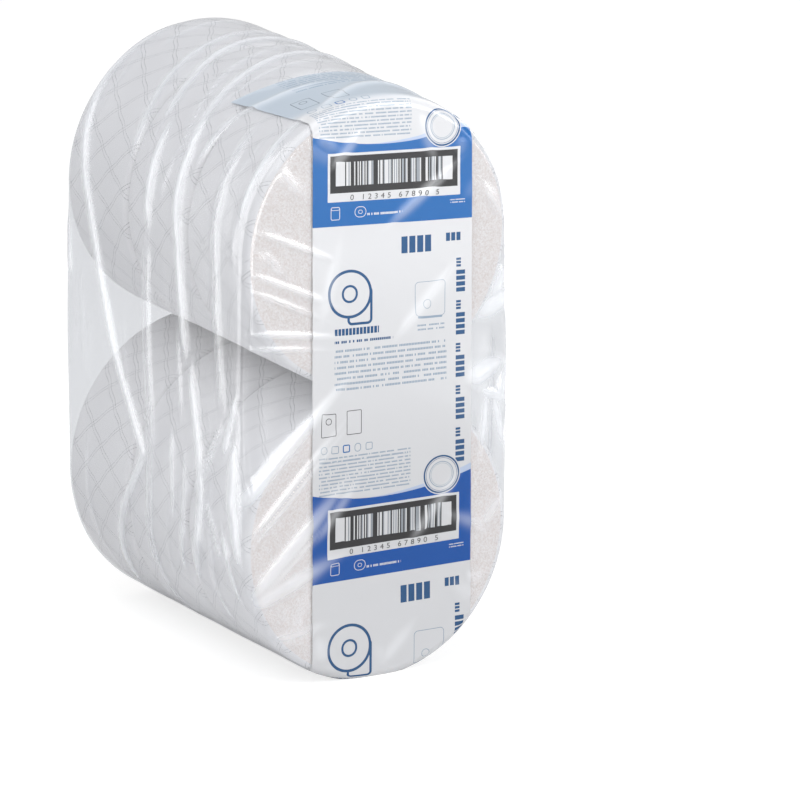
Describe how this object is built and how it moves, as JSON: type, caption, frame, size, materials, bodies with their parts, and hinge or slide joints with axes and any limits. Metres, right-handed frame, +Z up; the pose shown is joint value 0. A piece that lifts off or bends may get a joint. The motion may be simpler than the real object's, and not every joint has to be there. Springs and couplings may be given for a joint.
{
  "type": "toilet paper roll pack",
  "caption": "Jumbo toilet tissue rolls on card cores, stacked in columns inside one tight clear film wrap with a printed front.",
  "frame": {"origin": "middle of the flat spot that the pack stands on, at the foot of the lower column", "axes": "+X to the right seen from the printed front, +Y from the front to the back along the rolls' axes, +Z up"},
  "size_m": [0.2238, 0.272, 0.4392],
  "materials": {
    "tissue": "soft white crepe tissue with an embossed lattice",
    "core_card": "plain brown spiral-wound card",
    "film": "clear glossy polyethylene film with a printed front"
  },
  "bodies": {
    "root": {"roll_upper_front": "tissue", "core_upper_front": "core_card", "roll_upper_middle": "tissue", "core_upper_middle": "core_card", "roll_upper_back": "tissue", "core_upper_back": "core_card", "roll_lower_front": "tissue", "core_lower_front": "core_card", "roll_lower_middle": "tissue", "core_lower_middle": "core_card", "roll_lower_back": "tissue", "core_lower_back": "core_card", "film_wrap": "film"}
  },
  "joints": []
}
